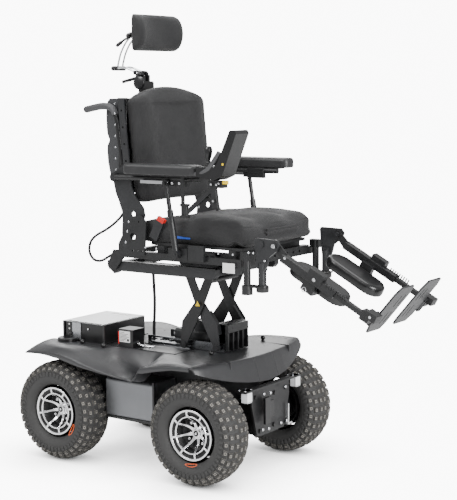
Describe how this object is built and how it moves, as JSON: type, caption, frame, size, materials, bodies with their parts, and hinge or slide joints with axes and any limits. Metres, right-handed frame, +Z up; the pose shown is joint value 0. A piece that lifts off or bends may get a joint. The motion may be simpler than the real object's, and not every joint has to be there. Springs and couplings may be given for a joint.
{
  "type": "power wheelchair",
  "caption": "Powered wheelchair with wide knobbed tyres, swept body cover, scissor seat lift, tilting seat, reclining back, headrest, joystick and raised leg rests.",
  "frame": {"origin": "on the floor under the centre of the overall box", "axes": "+X towards the front, +Y to the sitter's left, +Z up"},
  "size_m": [1.5374, 0.6876, 1.646],
  "materials": {
    "tyre": "knobbed tread",
    "rim_metal": "machined edges, black pockets",
    "frame_dark": "satin black powder coat",
    "frame_grey": "satin grey",
    "bright_metal": "bright",
    "chrome_rod": "polished",
    "cast": "cast",
    "cover_plastic": "grained",
    "gloss_black": "gloss",
    "shell_grey": "satin light grey",
    "battery_case": "moulded",
    "battery_cover": "metallic grey",
    "module_case": "anodised",
    "upholstery": "woven",
    "pad_skin": "satin skin",
    "lamp_white": "clear over white",
    "cable_jacket": "braided",
    "button_red": "satin",
    "boot_rubber": "bellows"
  },
  "bodies": {
    "base": {"chassis": "frame_dark", "batteries": "battery_case", "battery_covers": "battery_cover", "deck_plate": "frame_dark", "body_cover": "cover_plastic", "control_modules": "module_case", "front_axle": "frame_dark", "headlights": "lamp_white", "rear_motors": "cast", "lift_base": "bright_metal", "lift_actuator": "frame_grey"},
    "wheel_rear_right": {"tyre_rear_right": "tyre", "rim_rear_right": "rim_metal"},
    "wheel_rear_left": {"tyre_rear_left": "tyre", "rim_rear_left": "rim_metal"},
    "wheel_front_right": {"tyre_front_right": "tyre", "rim_front_right": "rim_metal"},
    "wheel_front_left": {"tyre_front_left": "tyre", "rim_front_left": "rim_metal"},
    "steer_right": {"front_motor_right": "cast"},
    "steer_left": {"front_motor_left": "cast"},
    "tie_rod": {"tie_rod": "bright_metal"},
    "lift_arm_inner": {"lift_arm_inner": "frame_grey"},
    "lift_arm_outer": {"lift_arm_outer": "frame_dark"},
    "subframe": {"seat_subframe": "frame_grey", "tilt_actuator": "frame_grey", "seat_cable": "cable_jacket"},
    "seat": {"seat_frame": "frame_dark", "seat_cushion": "upholstery", "belt_buckle": "frame_grey"},
    "belt_button": {"belt_button": "button_red"},
    "back": {"back_frame": "frame_grey", "back_shell": "shell_grey", "back_cushion": "upholstery", "push_handles": "pad_skin", "headrest_mount": "gloss_black", "back_cable": "cable_jacket"},
    "headrest_link": {"headrest_link": "chrome_rod"},
    "headrest_arm": {"headrest_arm": "bright_metal"},
    "headrest_pad": {"headrest_pad": "upholstery"},
    "armrest_right": {"arm_frame_right": "frame_dark", "arm_pad_right": "pad_skin"},
    "armrest_left": {"arm_frame_left": "frame_dark", "arm_pad_left": "pad_skin"},
    "arm_post_right": {"arm_post_right": "frame_dark"},
    "arm_post_left": {"arm_post_left": "frame_dark"},
    "joystick_box": {"joystick_arm": "frame_dark", "joystick_housing": "gloss_black"},
    "stick_gimbal": {"stick_gimbal": "boot_rubber"},
    "stick": {"joystick_stick": "gloss_black"},
    "hanger_right": {"hanger_right": "frame_grey"},
    "leg_tube_right": {"leg_tube_right": "frame_dark"},
    "leg_extension_right": {"leg_extension_right": "frame_dark"},
    "calf_pad_right": {"calf_pad_right": "gloss_black"},
    "footplate_right": {"footplate_right": "frame_grey"},
    "hanger_left": {"hanger_left": "frame_grey"},
    "leg_tube_left": {"leg_tube_left": "frame_dark"},
    "leg_extension_left": {"leg_extension_left": "frame_dark"},
    "calf_pad_left": {"calf_pad_left": "gloss_black"},
    "footplate_left": {"footplate_left": "frame_grey"}
  },
  "joints": [
    {"name": "wheel_rear_right_spin", "type": "hinge", "parent": "base", "child": "wheel_rear_right", "pos_m": [-0.58371, -0.273, 0.185], "axis": [0, 1, 0], "continuous": true},
    {"name": "wheel_rear_left_spin", "type": "hinge", "parent": "base", "child": "wheel_rear_left", "pos_m": [-0.58371, 0.273, 0.185], "axis": [0, 1, 0], "continuous": true},
    {"name": "steer_right", "type": "hinge", "parent": "base", "child": "steer_right", "pos_m": [0.04829, -0.17, 0.185], "axis": [0, 0, 1], "range_deg": [-12, 12]},
    {"name": "steer_left", "type": "hinge", "parent": "base", "child": "steer_left", "pos_m": [0.04829, 0.17, 0.185], "axis": [0, 0, 1], "range_deg": [-12, 12]},
    {"name": "tie_rod_pivot", "type": "hinge", "parent": "steer_right", "child": "tie_rod", "pos_m": [0.11229, -0.17, 0.185], "axis": [0, 0, 1], "range_deg": [-12, 12]},
    {"name": "wheel_front_right_spin", "type": "hinge", "parent": "steer_right", "child": "wheel_front_right", "pos_m": [0.04829, -0.273, 0.185], "axis": [0, 1, 0], "continuous": true},
    {"name": "wheel_front_left_spin", "type": "hinge", "parent": "steer_left", "child": "wheel_front_left", "pos_m": [0.04829, 0.273, 0.185], "axis": [0, 1, 0], "continuous": true},
    {"name": "lift", "type": "hinge", "parent": "base", "child": "lift_arm_inner", "pos_m": [-0.00771, 0, 0.447], "axis": [0, -1, 0], "range_deg": [0, 26]},
    {"name": "lift_cross", "type": "hinge", "parent": "lift_arm_inner", "child": "lift_arm_outer", "pos_m": [-0.07771, 0, 0.599], "axis": [0, -1, 0], "range_deg": [-52, 0]},
    {"name": "lift_level", "type": "hinge", "parent": "lift_arm_outer", "child": "subframe", "pos_m": [-0.00771, 0, 0.751], "axis": [0, -1, 0], "range_deg": [0, 26]},
    {"name": "seat_tilt", "type": "hinge", "parent": "subframe", "child": "seat", "pos_m": [-0.38771, 0, 0.735], "axis": [0, -1, 0], "range_deg": [0, 30]},
    {"name": "back_recline", "type": "hinge", "parent": "seat", "child": "back", "pos_m": [-0.30471, 0, 0.815], "axis": [0, -1, 0], "range_deg": [0, 48], "deforming": ["back_cable"]},
    {"name": "armrest_right", "type": "hinge", "parent": "back", "child": "armrest_right", "pos_m": [-0.34471, -0.252, 1.062], "axis": [0, -1, 0], "range_deg": [-48, 0]},
    {"name": "arm_post_right", "type": "hinge", "parent": "seat", "child": "arm_post_right", "pos_m": [-0.05571, -0.256, 0.803], "axis": [0, -1, 0], "range_deg": [0, 48]},
    {"name": "armrest_left", "type": "hinge", "parent": "back", "child": "armrest_left", "pos_m": [-0.34471, 0.252, 1.062], "axis": [0, -1, 0], "range_deg": [-48, 0]},
    {"name": "arm_post_left", "type": "hinge", "parent": "seat", "child": "arm_post_left", "pos_m": [-0.05571, 0.256, 0.803], "axis": [0, -1, 0], "range_deg": [0, 48]},
    {"name": "belt_button", "type": "slide", "parent": "seat", "child": "belt_button", "axis": [0, 0, -1], "range_m": [0, 0.003], "stiffness_N_per_m": 250, "springref_m": -0.004},
    {"name": "headrest_lower", "type": "hinge", "parent": "back", "child": "headrest_link", "pos_m": [-0.40171, 0, 1.427], "axis": [0, 1, 0], "range_deg": [-25, 8]},
    {"name": "headrest_middle", "type": "hinge", "parent": "headrest_link", "child": "headrest_arm", "pos_m": [-0.50871, 0, 1.454], "axis": [0, 1, 0], "range_deg": [-20, 8]},
    {"name": "headrest_tilt", "type": "hinge", "parent": "headrest_arm", "child": "headrest_pad", "pos_m": [-0.44371, 0, 1.572], "axis": [0, 1, 0], "range_deg": [-20, 12]},
    {"name": "joystick_swing", "type": "hinge", "parent": "armrest_right", "child": "joystick_box", "pos_m": [0.00929, -0.28, 0.96], "axis": [0, 0, -1], "range_deg": [0, 90]},
    {"name": "stick_fore_aft", "type": "hinge", "parent": "joystick_box", "child": "stick_gimbal", "pos_m": [0.09429, -0.264, 1.106], "axis": [0, 1, 0], "range_deg": [-16, 16], "stiffness_Nm_per_rad": 0.6},
    {"name": "stick_sideways", "type": "hinge", "parent": "stick_gimbal", "child": "stick", "pos_m": [0.09429, -0.264, 1.106], "axis": [1, 0, 0], "range_deg": [-16, 16], "stiffness_Nm_per_rad": 0.6},
    {"name": "hanger_swing_right", "type": "hinge", "parent": "seat", "child": "hanger_right", "pos_m": [0.27329, -0.207, 0.735], "axis": [0, 0, -1], "range_deg": [0, 85]},
    {"name": "leg_elevate_right", "type": "hinge", "parent": "hanger_right", "child": "leg_tube_right", "pos_m": [0.32729, -0.209, 0.852], "axis": [0, -1, 0], "range_deg": [-45, 20]},
    {"name": "leg_length_right", "type": "slide", "parent": "leg_tube_right", "child": "leg_extension_right", "axis": [0.8813, 0, -0.4726], "range_m": [-0.01, 0.05]},
    {"name": "footplate_flip_right", "type": "hinge", "parent": "leg_extension_right", "child": "footplate_right", "pos_m": [0.63399, -0.164, 0.57793], "axis": [0.6428, 0, 0.766], "range_deg": [0, 85]},
    {"name": "calf_pad_turn_right", "type": "hinge", "parent": "leg_tube_right", "child": "calf_pad_right", "pos_m": [0.44012, -0.154, 0.71006], "axis": [-0.8813, 0, 0.4726], "range_deg": [0, 35]},
    {"name": "hanger_swing_left", "type": "hinge", "parent": "seat", "child": "hanger_left", "pos_m": [0.27329, 0.207, 0.735], "axis": [0, 0, 1], "range_deg": [0, 85]},
    {"name": "leg_elevate_left", "type": "hinge", "parent": "hanger_left", "child": "leg_tube_left", "pos_m": [0.32729, 0.209, 0.852], "axis": [0, -1, 0], "range_deg": [-45, 20]},
    {"name": "leg_length_left", "type": "slide", "parent": "leg_tube_left", "child": "leg_extension_left", "axis": [0.8813, 0, -0.4726], "range_m": [-0.01, 0.05]},
    {"name": "footplate_flip_left", "type": "hinge", "parent": "leg_extension_left", "child": "footplate_left", "pos_m": [0.63399, 0.164, 0.57793], "axis": [-0.6428, 0, -0.766], "range_deg": [0, 85]},
    {"name": "calf_pad_turn_left", "type": "hinge", "parent": "leg_tube_left", "child": "calf_pad_left", "pos_m": [0.44012, 0.154, 0.71006], "axis": [0.8813, 0, -0.4726], "range_deg": [0, 35]}
  ],
  "couplings": [
    {"joint": "steer_left", "follows": "steer_right", "ratio": 1},
    {"joint": "tie_rod_pivot", "follows": "steer_right", "ratio": -1},
    {"joint": "lift_cross", "follows": "lift", "ratio": -2},
    {"joint": "lift_level", "follows": "lift", "ratio": 1},
    {"joint": "armrest_right", "follows": "back_recline", "ratio": -1},
    {"joint": "arm_post_right", "follows": "back_recline", "ratio": 1},
    {"joint": "armrest_left", "follows": "back_recline", "ratio": -1},
    {"joint": "arm_post_left", "follows": "back_recline", "ratio": 1}
  ]
}
